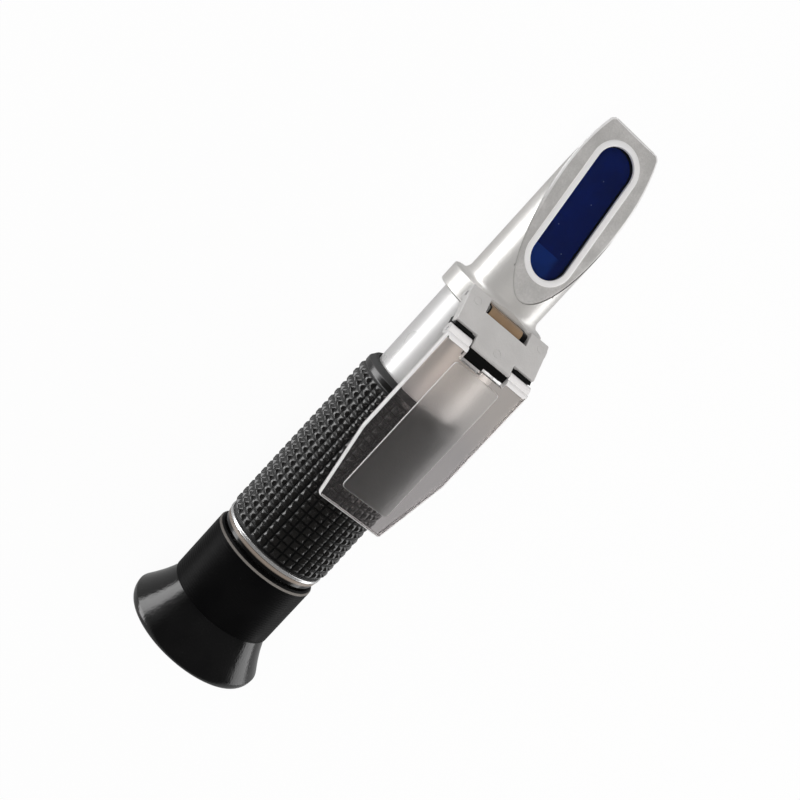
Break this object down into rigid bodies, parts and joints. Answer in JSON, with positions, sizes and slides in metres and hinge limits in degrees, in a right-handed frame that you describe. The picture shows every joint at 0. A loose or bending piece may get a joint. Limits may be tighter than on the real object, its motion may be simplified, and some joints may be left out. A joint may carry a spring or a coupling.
{
  "type": "handheld brix refractometer",
  "caption": "Handheld refractometer: slanted prism, double-hinged clear daylight plate, knurled rubber grip, focusing eyepiece with a flared eyecup.",
  "frame": {"origin": "on the optical axis at the middle of the rubber grip, where a hand holds the instrument", "axes": "+X along the optical axis towards the prism tip, +Z to the side that the prism's measuring face looks to, +Y to the left of a user who looks into the eyepiece with the prism face up"},
  "size_m": [0.1613, 0.0376, 0.0422],
  "materials": {
    "cast_body": "satin silver casting",
    "face_plate": "fine blasted, satin",
    "bright_tube": "bright, satin turned",
    "bright_trim": "polished",
    "inner_metal": "matte black",
    "steel_screw": "bright",
    "bronze": "rolled strip, satin",
    "grip_rubber": "matte, moulded pyramids",
    "seal_rubber": "matte",
    "cup_rubber": "smooth, glossy",
    "ring_black": "fine turned ribs",
    "gloss_black": "polished",
    "insert_black": "moulded",
    "arm_plastic": "satin light grey",
    "prism_glass": "polished, dark blue",
    "lens_glass": "coated",
    "clear_plastic": "clear, with a hazy raised pad"
  },
  "bodies": {
    "main_body": {"prism_housing": "cast_body", "prism_bezel": "face_plate", "prism": "prism_glass", "prism_seal": "seal_rubber", "light_baffle": "inner_metal", "body_tube": "bright_tube", "tube_seal": "seal_rubber", "tube_set_screw": "steel_screw", "objective_cell": "inner_metal", "objective_lens": "lens_glass", "bimetal_strip": "bronze", "strip_screw": "steel_screw", "lens_carrier": "inner_metal", "reticle_holder": "inner_metal", "reticle": "lens_glass", "reticle_clip": "inner_metal", "grip_sleeve": "grip_rubber", "trim_ring": "bright_trim", "grip_end_ring": "gloss_black", "guide_screw": "steel_screw", "focus_seal": "seal_rubber", "arm_spring": "bronze"},
    "calibration": {"calibration_screw": "steel_screw"},
    "eyepiece": {"eyepiece_barrel": "inner_metal", "field_lens": "lens_glass", "lens_spacer": "inner_metal", "eye_lens": "lens_glass", "lens_retainer": "inner_metal"},
    "focus": {"focus_ring": "ring_black", "barrel_clip": "steel_screw", "eyecup": "cup_rubber"},
    "cover_arm": {"hinge_arm": "arm_plastic", "hinge_insert": "insert_black", "arm_pin": "steel_screw"},
    "cover_plate": {"daylight_plate": "clear_plastic", "plate_pin": "steel_screw"}
  },
  "joints": [
    {"name": "arm_hinge", "type": "hinge", "parent": "main_body", "child": "cover_arm", "pos_m": [0.05179, 0, 0.01347], "axis": [0, 1, 0], "range_deg": [0, 142.6]},
    {"name": "plate_hinge", "type": "hinge", "parent": "cover_arm", "child": "cover_plate", "pos_m": [0.04403, 0, 0.0201], "axis": [0, 1, 0], "range_deg": [0, 56.6]},
    {"name": "focus_travel", "type": "slide", "parent": "main_body", "child": "eyepiece", "axis": [-1, 0, 0], "range_m": [0, 0.005]},
    {"name": "focus_turn", "type": "hinge", "parent": "eyepiece", "child": "focus", "pos_m": [-0.04, 0, 0], "axis": [-1, 0, 0], "range_deg": [0, 300]},
    {"name": "calibration_turn", "type": "hinge", "parent": "main_body", "child": "calibration", "pos_m": [0.0372, 0, -0.0099], "axis": [0, 0, -1], "range_deg": [-180, 180]}
  ],
  "couplings": [
    {"joint": "focus_travel", "follows": "focus_turn", "m_per_rad": 0.00095}
  ]
}
